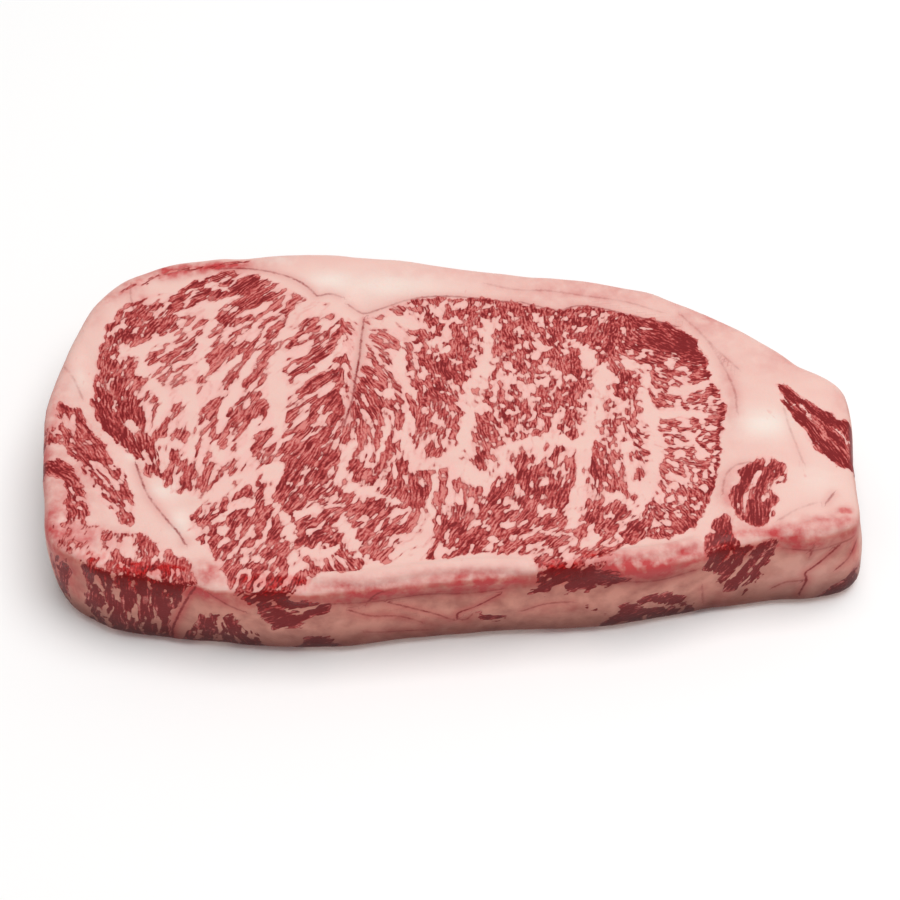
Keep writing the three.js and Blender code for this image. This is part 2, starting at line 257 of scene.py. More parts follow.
# Lean that shows on the trimmed front, in x and height above the foot: outlines, fat in them, and grain.
FRONT_LEAN = [
    [(-97, -2), (-95, 5), (-97, 12), (-94, 19), (-96, 26), (-93, 31), (-65, 31), (-66.6, 24), (-70, 14),
     (-72, 4), (-72, -2)],
    [(-69.6, -2), (-68, 12), (-63, 17), (-57, 19), (-52.4, 15), (-48.6, 8), (-47, -2)],
    [(-58, 31), (-55, 25.4), (-51, 21), (-47.6, 14), (-44, 11), (-38.6, 13.6), (-34, 17), (-29.6, 20.4),
     (-27, 24),
     (-31.4, 24.2), (-39, 26), (-43, 31)],
    [(-41.4, -2), (-40, 6), (-37, 9.6), (-32.6, 9.8), (-29, 6), (-27, -2)],
    [(16.6, 20.6), (20, 23), (20.6, 31), (36, 31), (44, 26), (47, 23.4), (43.6, 20.8), (37, 18.6),
     (29, 17.8), (23, 18.4)],
    [(6, 12.6), (10.4, 13), (15.4, 11), (13.6, 8.2), (7.4, 8.6)],
    [(39, -2), (38.4, 6), (42, 12), (47, 15), (52.6, 17), (58, 13.4), (62.6, 8.4), (66, -2)],
    [(31, 11.4), (35, 13.6), (38.4, 12), (38.6, 8.6), (36.4, 9.4), (34.6, 12)],
    [(63.6, 22.6), (66, 31), (84, 31), (83.6, 22), (81, 14), (78, 9), (76, 4.6), (73, 8.6), (69, 11.4),
     (67.4, 17)],
    [(94.6, 2.4), (98, 6.4), (101.4, 9), (104.4, 12.4), (108, 9), (108, -2), (96, -2)],
    [(-106, 2), (-107, 12), (-105, 21), (-99.6, 26), (-96.6, 20), (-98.4, 10), (-99, 2)],
]
FRONT_FAT_STROKES = [
    [(-90.4, 24, 0.9), (-88.6, 16, 0.7), (-90, 9, 0.5), (-88.4, 2, 0.7)],
    [(-85.6, 27, 0.8), (-85.8, 20, 1.0), (-83.6, 12, 0.6), (-84.6, 5, 0.5)],
    [(-81.4, 25, 0.7), (-80, 18, 0.9), (-81.6, 10, 0.8), (-79.4, 2, 0.6)],
    [(-76.4, 26, 0.6), (-77.6, 19, 0.8), (-75.8, 12, 1.0), (-76.6, 4, 0.7)],
    [(-72.6, 24, 0.6), (-71.4, 17, 0.7), (-73, 9, 0.6)],
    [(-64.6, 13, 0.5), (-66, 4, 0.7)],
    [(-59.6, 16, 0.6), (-60.4, 4, 0.6)],
    [(70.6, 15, 0.4), (75, 21, 0.5), (78, 27, 0.7)],
    [(74.6, 13, 0.4), (79, 20, 0.5), (82, 26, 0.6)],
    [(68.6, 20, 0.3), (72, 27, 0.7)],
    [(-45, 22, 0.8), (-40, 19.6, 0.6), (-35, 21.6, 0.5)],
    [(48, 11.6, 0.8), (54, 9, 0.9), (60, 6, 0.8)],
]
FRONT_GRAIN = [
    (-102, 12, 72, 4.0, 1.3, 0.0), (-95, 12, 66, 3.4, 0.9, 0.0), (-88, 14, 76, 5.0, 2.3, 0.0),
    (-82, 14, 96, 5.0, 2.0, 0.0), (-76, 14, 84, 5.0, 2.6, 0.0), (-71, 8, 74, 4.0, 1.6, 0.0),
    (-63, 8, 64, 2.6, 1.4, 0.2),
    (-55, 8, 108, 2.6, 1.5, 0.2), (-52, 23, 32, 2.2, 1.8, 0.0), (-38, 18, 24, 2.6, 2.2, 0.1),
    (-35, 5, 30, 2.2, 2.0, 0.1), (-12, 14, 25, 4.0, 0.7, 0.0), (11, 11, 20, 2.4, 2.2, 0.0),
    (28, 22, 30, 2.2, 2.0, 0.1), (43, 22, 20, 2.6, 2.0, 0.1), (50, 9, 24, 2.2, 1.9, 0.2),
    (62, 5, 50, 2.4, 2.0, 0.1),
    (70, 20, 62, 5.0, 2.4, 0.0), (78, 14, 58, 5.0, 2.4, 0.0), (90, 14, 62, 4.0, 1.0, 0.0),
    (100, 5, 38, 3.4, 2.3, 0.0),
]

# Thin dark lines on the cut face, where one layer was drawn back from the next: points, then strength.
FACE_LINES = [
    ([(-64, 49.9), (-57, 49.8), (-50, 48.4), (-44, 46.3), (-40, 43.4), (-37.2, 40.2)], 0.8),
    ([(-37, 40), (-33.6, 40.9), (-30.6, 39.8)], 0.6),
    ([(-28, 36.9), (-24, 34.4), (-19.6, 35.6), (-12, 38.6), (-3, 39.9), (5, 39.4), (12, 38.2),
      (19, 37.9)], 0.6),
    ([(19, 37.9), (24, 36.2), (29.6, 34.9), (34, 36.5), (39, 36.2), (46, 34), (54, 31.6), (61, 29.4)], 0.7),
    ([(-24, 32), (-24.6, 25), (-25, 18), (-25.8, 11), (-26.4, 4), (-28.4, -5)], 0.95),
    ([(-82.6, -18), (-79.4, -27), (-75, -34), (-70, -40.6), (-68.2, -44)], 0.8),
    ([(-105, 16), (-101.4, 10.4), (-98.6, 4)], 0.3),
    ([(63, 33), (69, 24.6), (73, 15), (75.4, 6), (75.6, -2)], 0.35),
    ([(66, 29), (71, 21.6), (77, 13.6)], 0.3),
    ([(10, 44.4), (18, 42.6), (27, 42.2), (36, 40.6), (47, 38.2), (57, 34.4)], 0.3),
    ([(70, -28), (71.2, -22.6), (74, -19.6), (78, -18.6)], 0.5),
    ([(88, -1), (89, -8), (90.6, -15), (91.6, -19)], 0.25),
    ([(96.6, -31.6), (98.6, -28.8)], 0.7),
    ([(84, -37), (89, -33.6), (94, -31.6)], 0.25),
    ([(-88.6, 44), (-88, 38), (-86, 32)], 0.45),
]
FRONT_LINES = [
    ([(-64.6, 27), (-67, 22), (-70, 14), (-72, 8), (-72.6, 3)], 1.8),
    ([(-61, 25.6), (-57, 21.6), (-53, 19.4)], 0.8),
    ([(-21.6, 21), (-19, 25.4), (-15, 26.6)], 0.9),
    ([(-26, 19), (-21, 16), (-14, 14.4), (-8, 10.6)], 0.7),
    ([(-17.6, 21.6), (-12, 18), (-4, 13.6), (0, 10.6)], 1.0),
    ([(-22, 9), (-15, 7.4), (-6, 6.4)], 0.6),
    ([(1.4, 10.4), (1.6, 13.6), (5, 15.4), (9, 18), (12, 20)], 1.3),
    ([(1.4, 10.4), (3.4, 9.6), (5, 11.6)], 0.9),
    ([(18, 13), (24, 15.4), (31, 15)], 0.6),
    ([(91, 5), (92.4, 11), (91.8, 14), (95, 17), (99.6, 22)], 1.3),
    ([(84, 8.4), (87, 10.4), (91.4, 10.8)], 0.7),
    ([(92.4, 20.6), (93, 24.6)], 0.8),
    ([(100, 14), (103, 17), (104.6, 21)], 0.7),
    ([(-103, 6), (-102, 14), (-103.6, 22)], 0.8),
    ([(64.6, 14), (65.6, 6)], 0.6),
    # These three lie just beneath the folds of fat: partly fissures, partly painted shade under the folds.
    ([(36, 24.4), (44, 22.4), (53, 21.4), (62, 22.2)], 0.6),
    ([(-31, 22.4), (-20, 21.6), (-8, 22.6), (2, 21.8), (13, 22.4)], 0.5),
    ([(85, 23.4), (95, 22.6), (103, 23.2)], 0.5),
]

# Red stain left by drip on the fat: x, y, reach along X and Y, strength. On the front, height stands for y.
FACE_BLUSH = [
    (-74, 50.0, 11, 2.2, 1.5), (-62, 51.4, 8, 1.6, 1.3), (-80, 47.6, 6, 2.0, 1.0), (-89, 44.6, 2.8, 4.0, 0.8),
    (-94, 40, 3.4, 3.4, 0.8), (-85, 37, 1.6, 4.6, 0.8), (-98, 33, 3.0, 4, 0.4), (-101, 26, 3.0, 6, 0.15),
    (-105, 8, 2.8, 10, 0.4),
    (-99, -22, 8, 20, 0.6), (-107, -14, 2.6, 14, 0.9), (-103, -38, 3.8, 7, 1.1), (-94, -42, 10, 3.6, 0.8),
    (101.4, -34, 2.0, 1.2, 1.6), (99, -37, 9, 2.0, 1.1), (85, -40.8, 11, 2.4, 1.4), (62, -46.6, 9, 2.6, 1.3),
    (49, -50.4, 12, 2.8, 1.5), (40, -52, 6, 2.4, 1.2), (8, -54.4, 15, 2.2, 1.3), (-22, -57.2, 15, 2.2, 1.3),
    (-62, -53.4, 5, 3.4, 1.3), (40, 42, 24, 5, 0.5), (72, 33, 11, 7, 0.65), (90, 18, 10, 6, 0.45),
    (74, 6, 3, 16, 0.35),
    (72, -30, 4, 9, 0.55), (-48, 53, 9, 3, 0.2), (8, 48, 26, 3, 0.25), (104, 2, 3, 8, 0.3),
]
FRONT_BLUSH = [
    (-100, 18, 7, 8, 0.9), (-60, 25, 7, 4, 1.1), (-20, 24.6, 24, 4.2, 0.7), (10, 24.6, 15, 4.0, 0.7),
    (52, 24, 17, 4.6, 0.55),
    (88, 24.6, 14, 3.2, 0.6), (106, 16, 3, 9, 0.9), (-6, 9, 14, 3.4, 0.35), (-18, 16, 8, 3, 0.35),
    (90, 12, 12, 5, 0.15),
    (70, 6, 4, 6, 0.5), (28, 12, 8, 2.6, 0.4), (-68, 4, 8, 5, 0.4), (-24, 3, 30, 4, 0.25),
]
# Bright moist red along the upper edge of the front, told the same way.
FACE_WET = [
    (-68, 50.7, 9, 1.0, 0.8), (-86, 45.6, 3, 1.6, 0.7), (-95, 38.4, 2.4, 3, 0.6), (-106, 2, 2, 6, 0.5),
    (-105, -28, 3, 9, 0.6),
    (-101, -41, 4, 2.6, 0.6), (-92, -48, 7, 2.2, 0.8), (-82, -51.4, 7, 2.0, 0.85), (-72, -52.4, 7, 2.6, 0.95),
    (-50, -55.4, 7, 2.6, 0.9), (-40, -56, 6, 2.2, 0.85), (28, -51.4, 9, 2.2, 0.95), (36, -48, 5, 1.6, 0.6),
    (69, -42.6, 3, 3.0, 0.8),
    (76, -41, 6, 1.6, 0.7), (101.4, -34, 1.8, 1.1, 1.4), (52, -49, 12, 1.4, 0.5), (90, -40.6, 9, 1.2, 0.6),
]
FRONT_WET = [
    (-100, 23, 6, 4, 0.8), (-90, 24.6, 6, 4, 1.0), (-80, 25, 6, 3.6, 1.0), (-71, 24.6, 6, 4, 1.1),
    (-50, 24.4, 7, 4, 1.1),
    (-41, 25, 6, 3.4, 1.0), (-33, 24.6, 5, 2.6, 0.7), (18, 24.4, 5, 2.6, 0.7), (29, 25, 9, 3.4, 1.0),
    (43, 24, 5, 2.6, 0.8), (69, 25, 4, 4, 0.9), (77, 25, 6, 3.4, 0.8), (102, 25.6, 3, 2, 0.8),
    (-97, 12, 2, 7, 0.7),
]
# The same for the painted shade beneath the folds of fat, and for where the front's fat is less dry and has
# less painted shade.
UNDER_LIPS = [(-8, 22.8, 26, 2.2, 0.4), (52, 22, 15, 2.4, 0.42), (95, 23, 10, 2.0, 0.2)]
LESS_DRY_SHADE = [(93, 13, 14, 12, 0.3)]
# Where the fat is whitest: partly whiter fat, partly painted highlights where moist fat glints, as at the
# tail and along the strap's seam.
FACE_CREAM_AND_SHEEN = [
    (82.6, -6, 7, 5, 1.0), (-18, 44, 16, 5, 0.7), (-34, 46, 6, 3, 0.6), (-75, -27, 4, 3, 0.8),
    (-70, -38, 2.6, 5, 0.8),
    (-84, -16, 2, 3, 0.4), (-48, 53, 4, 1.4, 0.8), (95, -24, 7, 5, 0.4), (-100, 10, 2.4, 5, 0.5),
]

# Folds of fat that stand proud along the top of the front: points with half the width, then height.
LIPS = [
    ([(-34, -54.6, 1.6), (-22, -54.8, 2.0), (-9, -52.8, 1.8), (2, -51.4, 2.0), (12, -51.2, 2.0),
      (20, -51.6, 1.8)], 1.0),
    ([(37, -50.6, 1.2), (44, -47.8, 1.8), (53, -46.4, 1.8), (62, -43.6, 1.6)], 1.0),
    ([(-65, -51, 2.0), (-61, -53, 2.2)], 0.6),
    ([(86, -39.6, 1.6), (96, -38.4, 1.8), (103, -36.4, 1.4)], 0.5),
]


FAR = 1e9  # a distance beyond anything on the slice
TINY = 1e-9  # keeps a division from failing where the skin is level


def srgb(hex_colour):
    """Linear RGBA of an sRGB hex value."""
    channels = [int(hex_colour[i : i + 2], 16) / 255 for i in (0, 2, 4)]
    linear = [c / 12.92 if c <= 0.04045 else ((c + 0.055) / 1.055) ** 2.4 for c in channels]
    return (*linear, 1.0)


def smooth(low, high, value):
    """Smooth step from 0 at low to 1 at high."""
    t = np.clip((value - low) / (high - low), 0.0, 1.0)
    return t * t * (3 - 2 * t)


def between(before, here, after, beyond, t):
    """The point a share t of the way from here to after, on a smooth curve through all four."""
    bend = 2 * before - 5 * here + 4 * after - beyond
    twist = 3 * (here - after) + beyond - before
    return here + 0.5 * t * (after - before + t * (bend + t * twist))


def closed_curve(points, steps=4):
    """A closed smooth curve through the points, as a finer outline."""
    p = np.array(points, float)
    corners = (np.roll(p, 1, 0), p, np.roll(p, -1, 0), np.roll(p, -2, 0))
    finer = [between(*corners, t) for t in np.arange(steps) / steps]
    return np.stack(finer, 1).reshape(-1, p.shape[1])


def open_curve(points, steps=5):
    """A smooth curve through the points, whose ends are kept."""
    p = np.array(points, float)
    if len(p) < 3:
        return p
    ends = np.vstack([2 * p[0] - p[1], p, 2 * p[-1] - p[-2]])
    finer = [between(*ends[i - 1 : i + 3], t) for i in range(1, len(p)) for t in np.arange(steps) / steps]
    return np.vstack([finer, p[-1:]])


def nearest_on_path(places, path):
    """Distance from each place to the path, signed by its side, and where on which stretch it is nearest."""
    best = np.full(len(places), FAR)
    signed = np.full(len(places), FAR)
    share = np.zeros(len(places))
    index = np.zeros(len(places), int)
    for i, (start, end) in enumerate(zip(path[:-1, :2], path[1:, :2])):
        along = end - start
        away = places - start
        t = np.clip(away @ along / (along @ along), 0.0, 1.0)
        gap = away - t[:, None] * along
        distance = np.hypot(gap[:, 0], gap[:, 1])
        closer = distance < best
        side = np.sign(along[0] * away[:, 1] - along[1] * away[:, 0])
        best[closer] = distance[closer]
        signed[closer] = (distance * np.where(side == 0, 1, side))[closer]
        share[closer] = t[closer]
        index[closer] = i
    return signed, share, index


def depth_inside(places, outline):
    """Distance to a closed outline, positive inside it."""
    curve = closed_curve(outline)
    ring = np.vstack([curve, curve[:1]])
    signed, _, _ = nearest_on_path(places, ring)
    x, y = places[:, 0], places[:, 1]
    inside = np.zeros(len(places), bool)
    for (x0, y0), (x1, y1) in zip(ring[:-1], ring[1:]):
        if y0 != y1:
            crosses = ((y0 > y) != (y1 > y)) & (x < (x1 - x0) * (y - y0) / (y1 - y0) + x0)
            inside ^= crosses
    return np.where(inside, 1, -1) * np.abs(signed)


def near_path(places, path, margin):
    """Which places lie in the path's box, widened by a margin."""
    return ((places > path[:, :2].min(0) - margin) & (places < path[:, :2].max(0) + margin)).all(1)


STROKE_RIM = (0.5, 1.2)  # where a stroke starts to fade and where it ends, as shares of half its width


def stroke_cover(places, stroke):
    """How far a stroke of varying width covers each place, from 0 to 1, with a soft rim."""
    path = open_curve(stroke)
    cover = np.zeros(len(places))
    near = near_path(places, path, STROKE_RIM[1] * path[:, 2].max())
    signed, share, index = nearest_on_path(places[near], path)
    width = path[index, 2] * (1 - share) + path[index + 1, 2] * share
    cover[near] = 1 - smooth(*STROKE_RIM, np.abs(signed) / width)
    return cover


STATION_REACH = 4.5  # millimetres over which one station's grain passes into the next one's


def from_stations(places, stations):
    """Grain, lean potential and curl at each place, from the nearest stations, with soft borders."""
    table = np.array(stations, float)
    gaps = ((places[:, None, :] - table[None, :, :2]) ** 2).sum(2)
    weights = np.exp(-(gaps - gaps.min(1, keepdims=True)) / (2 * STATION_REACH * STATION_REACH))
    weights /= weights.sum(1, keepdims=True)
    angle, length = np.radians(table[:, 2]), table[:, 3]
    columns = np.column_stack([length * np.cos(angle), length * np.sin(angle), table[:, 4], table[:, 5]])
    return weights @ columns


def blot_sum(places, blots):
    """Sum of soft round blots."""
    total = np.zeros(len(places))
    for x, y, reach_x, reach_y, strength in blots:
        across, along = (places[:, 0] - x) / reach_x, (places[:, 1] - y) / reach_y
        total += strength * np.exp(-(across**2) - along**2)
    return total


RAGGED = ((3.2, 1.1), (1.5, 0.5))  # wavelength and reach, in millimetres, of the unevenness of every edge
RAGGED_SEED = 1  # without it the noise starts at another place in every run


def ragged(places):
    """The places, each moved a little way, so that what is laid out on them gets uneven edges."""
    noise.seed_set(RAGGED_SEED)
    moved = places.copy()
    for wavelength, reach in RAGGED:
        shifts = [noise.noise_vector((x, y, wavelength))[:2] for x, y in places / wavelength]
        moved += reach * np.array(shifts)
    return moved


SOLID_FAT = -5.5  # lean potential where nothing but fat shows
FACE_RIM = (-0.8, 0.6)  # where lean begins and is full, in millimetres inside its outline
FRONT_RIM = (-1.0, 2.2)
LEAN_STROKE_RISE = 1.2
FAT_STROKE_DROP = 3.3


def lean_potential(places, outlines, fat_strokes, lean_strokes, density, rim=FACE_RIM):
    """How lean each place is: 0 is half lean and half fat, and SOLID_FAT is nothing but fat."""
    inside = np.max([depth_inside(places, outline) for outline in outlines], axis=0)
    within = np.clip((inside - rim[0]) / (rim[1] - rim[0]), 0, 1)
    potential = SOLID_FAT + (density - SOLID_FAT) * within
    for stroke in lean_strokes:
        potential += LEAN_STROKE_RISE * stroke_cover(places, stroke) * within
    for stroke in fat_strokes:
        potential -= FAT_STROKE_DROP * stroke_cover(places, stroke)
    return np.maximum(potential, SOLID_FAT)


LINE_MARGIN = 4.0  # millimetres beside a line within which its distance is worked out
LINE_FADE = 1.6  # and over which its strength fades
NO_LINE = 9.0  # distance given where there is no line near


def line_fields(places, lines):
    """Signed distance to the nearest line, and that line's strength fading out beside it."""
    nearest = np.full(len(places), NO_LINE)
    strength = np.zeros(len(places))
    for points, weight in lines:
        path = open_curve(points)
        near = np.flatnonzero(near_path(places, path, LINE_MARGIN))
        signed, _, _ = nearest_on_path(places[near], path)
        closer = np.abs(signed) < np.abs(nearest[near])
        nearest[near[closer]] = signed[closer]
        strength[near[closer]] = weight * np.exp(-((signed[closer] / LINE_FADE) ** 2))
    return nearest, strength


FACING = (0.35, 0.8)  # how level the skin is where a cut face begins, and where it is full
FRONT_FACING = (0.25, 0.75)  # how squarely the side faces forwards where the front begins and is full
THROUGH_SEAMS = 16  # the first so many of the fat strokes go right through the slice
LOWER_SHIFT = np.array([1.5, -1.0])  # the seams lean a little, and come out on the lower face this far away
EDGE_TOP = 28.0  # height of the upper cut face
EDGE_INSET = 2.6  # the lean on the sides other than the front is that of the face this far in from the skin
EDGE_SLANT = np.array([0.0, 0.22])  # how the muscles lean as they go down those sides, for each millimetre
EDGE_RAGGED = 2  # how many times more uneven their edges are there
EDGE_LEAN = 1.2  # what the lean gains there at the top
EDGE_THINNING = 0.07  # and loses again for each millimetre further down
EDGE_STREAK = 3.5  # half the length of the upright streaks there
EDGE_DRY_SHADE = 0.6  # how far the fat there has the colour of the side: the dry outside, darkened further as painted shade
LIP_HEIGHTS = (18, 24)  # height at which a fold begins to stand proud of the front, and where it is full
BLUSH_HEIGHTS = (20, 26)  # height at which the face's blush begins on the side, and where it is full
FOOT_SHADE_HEIGHTS = (16, 1)  # height at which painted shade begins to darken the side on the way down, and where it is darkest


def slice_fields(places, normals):
    """All that the finish needs at each vertex, as named columns. Places are in millimetres."""
    places = places - TABLES_FROM
    height = places[:, 2]
    upper = smooth(*FACING, normals[:, 2])
    under = smooth(*FACING, -normals[:, 2])
    side = 1 - upper - under
    level = np.hypot(normals[:, 0], normals[:, 1]) + TINY
    front = side * smooth(*FRONT_FACING, -normals[:, 1] / level)
    flat = places[:, :2]
    uneven = ragged(flat)
    standing = places[:, [0, 2]]
    uneven_standing = ragged(standing)
    face_grain = from_stations(flat, FACE_GRAIN)
    front_grain = from_stations(standing, FRONT_GRAIN)
    density = face_grain[:, 2]
    seams = FAT_STROKES[:THROUGH_SEAMS]
    depth = (EDGE_TOP - height)[:, None]
    inward = uneven - EDGE_INSET * normals[:, :2] / level[:, None] + depth * EDGE_SLANT
    inward = inward + EDGE_RAGGED * (uneven_standing - standing)
    edge_density = density + EDGE_LEAN - EDGE_THINNING * depth[:, 0]
    face_lean = lean_potential(uneven, MUSCLES, FAT_STROKES, LEAN_STROKES, density)
    under_lean = lean_potential(uneven + LOWER_SHIFT, MUSCLES, seams, [], density)
    front_lean = lean_potential(
        uneven_standing, FRONT_LEAN, FRONT_FAT_STROKES, [], front_grain[:, 2], rim=FRONT_RIM
    )
    edge_lean = lean_potential(inward, MUSCLES, seams, [], edge_density)
    fibre = np.zeros_like(places)
    fibre[:, :2] += (upper + under)[:, None] * face_grain[:, :2]
    fibre[:, [0, 2]] += front[:, None] * front_grain[:, :2]
    fibre[:, 2] += (side - front) * EDGE_STREAK
    face_line, face_strength = line_fields(flat, FACE_LINES)
    front_line, front_strength = line_fields(standing, FRONT_LINES)
    on_front = front * front_strength > upper * face_strength
    line = np.where(on_front, front_line, face_line)
    rise = np.zeros(len(places))
    for points, proud in LIPS:
        rise += proud * stroke_cover(flat, points) * smooth(*LIP_HEIGHTS, height)
    face_blush = (1 - under) * blot_sum(flat, FACE_BLUSH) * smooth(*BLUSH_HEIGHTS, height)
    return {
        "lean": upper * face_lean + under * under_lean + front * front_lean + (side - front) * edge_lean,
        "fibre": fibre,
        "curl": (upper + under) * face_grain[:, 3] + front * front_grain[:, 3],
        "line": np.clip(line, -LINE_MARGIN, LINE_MARGIN),
        "line_strength": np.where(on_front, front * front_strength, upper * face_strength),
        "blush": face_blush + front * blot_sum(standing, FRONT_BLUSH),
        "wet": upper * blot_sum(flat, FACE_WET) + front * blot_sum(standing, FRONT_WET),
        # painted shade: darker towards the foot of the side, and beneath the folds of fat
        "foot": side * smooth(*FOOT_SHADE_HEIGHTS, height) + front * blot_sum(standing, UNDER_LIPS),
        # whitest fat, and painted highlights where moist fat glints
        "cream_and_sheen": upper * blot_sum(flat, FACE_CREAM_AND_SHEEN),
        # the side's darker, browner colour: partly drier outer fat, partly painted shade
        "flank": front * (1 - blot_sum(standing, LESS_DRY_SHADE)) + EDGE_DRY_SHADE * (side - front),
        "rise": rise,
        "raised": 1 - under,
    }


def add_node(tree, kind, links=None, **settings):
    """Adds a node with its settings, and fills its sockets with values or with links from other nodes."""
    node = tree.nodes.new(kind)
    for name, value in settings.items():
        setattr(node, name, value)
    for key, value in (links or {}).items():
        if isinstance(value, bpy.types.NodeSocket):
            tree.links.new(value, node.inputs[key])
        else:
            node.inputs[key].default_value = value
    return node


# Noise drawn out along the grain: millimetres from one streak to the next, the share of a streak's length
# over which it is drawn out, its detail, and the number of samples. Flakes in such beef are 1 to 3 mm wide.
CLUMPS = (4.2, 0.6, 0.0, 3)
FLAKES = (2.2, 0.5, 0.0, 5)
FLECKS = (1.15, 0.42, 0.5, 7)
STRANDS = (0.5, 0.45, 0.0, 9)  # fibres in the lean, drawn coarser than real ones, which are too fine to show
# Averaging flattens the noise, so it is raised again by the root of a sum: the first of these, and the second
# times the streak's length in cells. Noise with detail needs more.
STREAK_GAIN = (30.0, 155.0)
STREAK_DETAIL = 0.9


def streak_noise(tree, place, fibre, cell, reach, detail, samples):
    """Noise averaged along the grain, about zero, with a spread near one."""
    length = add_node(tree, "ShaderNodeVectorMath", {0: fibre}, operation="LENGTH").outputs["Value"]
    growth = STREAK_GAIN[1] * (1 + STREAK_DETAIL * detail) * reach / cell
    boost = add_node(
        tree, "ShaderNodeMath", {0: length, 1: growth, 2: STREAK_GAIN[0]}, operation="MULTIPLY_ADD"
    ).outputs[0]
    boost = add_node(tree, "ShaderNodeMath", {0: boost}, operation="SQRT").outputs[0]
    total = None
    for step in np.linspace(-1, 1, samples):
        shifted = add_node(
            tree, "ShaderNodeVectorMath", {0: fibre, 1: (step * reach,) * 3, 2: place},
            operation="MULTIPLY_ADD",
        ).outputs[0]
        sample = add_node(
            tree, "ShaderNodeTexNoise",
            {"Vector": shifted, "Scale": 1 / cell, "Detail": detail, "Roughness": 0.55},
        ).outputs[0]
        if total is None:
            total = sample
        else:
            total = add_node(tree, "ShaderNodeMath", {0: total, 1: sample}, operation="ADD").outputs[0]
    mean = add_node(tree, "ShaderNodeMath", {0: total, 1: samples}, operation="DIVIDE").outputs[0]
    centred = add_node(tree, "ShaderNodeMath", {0: mean, 1: 0.5}, operation="SUBTRACT").outputs[0]
    return add_node(tree, "ShaderNodeMath", {0: centred, 1: boost}, operation="MULTIPLY").outputs[0]


CLUMP_SHARE = 0.65
FLECK_SHARE = 0.78
STRAND_SHARE = 0.2
WARP_CELL = 4.5  # millimetres over which the grain wanders
WARP_REACH = 0.85  # and how far it goes
CURL_CELL = 3.0  # millimetres between curled threads of lean
CURL_SLOPE = -24.0  # how fast a curled thread falls off on both sides of its middle
CURL_CREST = 1.6  # and how lean its middle is


def marbling(tree, place, fibre, lean, curl):
    """The marbling: above zero is lean and below it fat. Used by the finish and by the relief alike."""
    wander = add_node(
        tree, "ShaderNodeTexNoise", {"Vector": place, "Scale": 1 / WARP_CELL, "Detail": 1.0}
    ).outputs[1]
    centred = add_node(
        tree, "ShaderNodeVectorMath", {0: wander, 1: (0.5,) * 3}, operation="SUBTRACT"
    ).outputs[0]
    warped = add_node(
        tree, "ShaderNodeVectorMath", {0: centred, 1: (2 * WARP_REACH,) * 3, 2: place},
        operation="MULTIPLY_ADD",
    ).outputs[0]
    clumps = streak_noise(tree, warped, fibre, *CLUMPS)
    flakes = streak_noise(tree, warped, fibre, *FLAKES)
    flecks = streak_noise(tree, warped, fibre, *FLECKS)
    ridge = add_node(
        tree, "ShaderNodeTexNoise", {"Vector": warped, "Scale": 1 / CURL_CELL, "Detail": 0.6}
    ).outputs[0]
    ridge = add_node(tree, "ShaderNodeMath", {0: ridge, 1: 0.5}, operation="SUBTRACT").outputs[0]
    ridge = add_node(tree, "ShaderNodeMath", {0: ridge}, operation="ABSOLUTE").outputs[0]
    threads = add_node(
        tree, "ShaderNodeMath", {0: ridge, 1: CURL_SLOPE, 2: CURL_CREST}, operation="MULTIPLY_ADD"
    ).outputs[0]
    flakes = add_node(
        tree, "ShaderNodeMath", {0: clumps, 1: CLUMP_SHARE, 2: flakes}, operation="MULTIPLY_ADD"
    ).outputs[0]
    broad = add_node(tree, "ShaderNodeMix", {0: curl, 2: flakes, 3: threads}, data_type="FLOAT").outputs[0]
    fine = add_node(
        tree, "ShaderNodeMath", {0: flecks, 1: FLECK_SHARE, 2: broad}, operation="MULTIPLY_ADD"
    ).outputs[0]
    return add_node(tree, "ShaderNodeMath", {0: fine, 1: lean}, operation="ADD").outputs[0], warped


COLOUR = {"subtype": "COLOR", "size": 4, "min": 0.0, "max": 1.0}  # what all the colour settings share


class SteakMuscleSettings(bpy.types.PropertyGroup):
    """Colours of the lean."""

    deep: bpy.props.FloatVectorProperty(
        name="Deep lean", description="Lean at its rim and in its depth", default=srgb("7C191C"), **COLOUR
    )
    bright: bpy.props.FloatVectorProperty(
        name="Bright lean", description="Lean in the light", default=srgb("B14442"), **COLOUR
    )
    pale: bpy.props.FloatVectorProperty(
        name="Pale lean", description="Lean thinned by fine fat", default=srgb("D47F78"), **COLOUR
    )
    juice: bpy.props.FloatVectorProperty(
        name="Juice", description="Red juice, laid over the colour under it", default=srgb("EC6266"), **COLOUR
    )


class SteakFatSettings(bpy.types.PropertyGroup):
    """Colours of the fat."""

    pink: bpy.props.FloatVectorProperty(
        name="Fat in the lean", description="Fat between flakes of lean", default=srgb("EAB9B1"), **COLOUR
    )
    tinted: bpy.props.FloatVectorProperty(
        name="Fat against lean", description="Fat tinted by lean beside it", default=srgb("E0A098"), **COLOUR
    )
    cap: bpy.props.FloatVectorProperty(
        name="Fat cap", description="The clean outer fat", default=srgb("E8C0B6"), **COLOUR
    )
    # The whitest fat, also laid on as painted highlights where moist fat glints.
    cream_and_sheen: bpy.props.FloatVectorProperty(
        name="Whitest fat", description="The whitest fat", default=srgb("ECDCD2"), **COLOUR
    )
    blush: bpy.props.FloatVectorProperty(
        name="Stained fat", description="Fat stained by drip", default=srgb("C24849"), **COLOUR
    )
    # Fat on the side: the drier outside, made darker and browner as painted shade.
    flank: bpy.props.FloatVectorProperty(
        name="Fat on the side", description="Fat of the drier outside", default=srgb("D69383"), **COLOUR
    )
    dry: bpy.props.FloatVectorProperty(
        name="Dry patches", description="Darker patches on the side", default=srgb("A05A50"), **COLOUR
    )
    fissure: bpy.props.FloatVectorProperty(
        name="Fissure", description="Thin dark lines between layers", default=srgb("8C2628"), **COLOUR
    )
    shade: bpy.props.FloatVectorProperty(
        name="Shade", description="Laid over the foot and under the folds", default=srgb("8C7370"), **COLOUR
    )


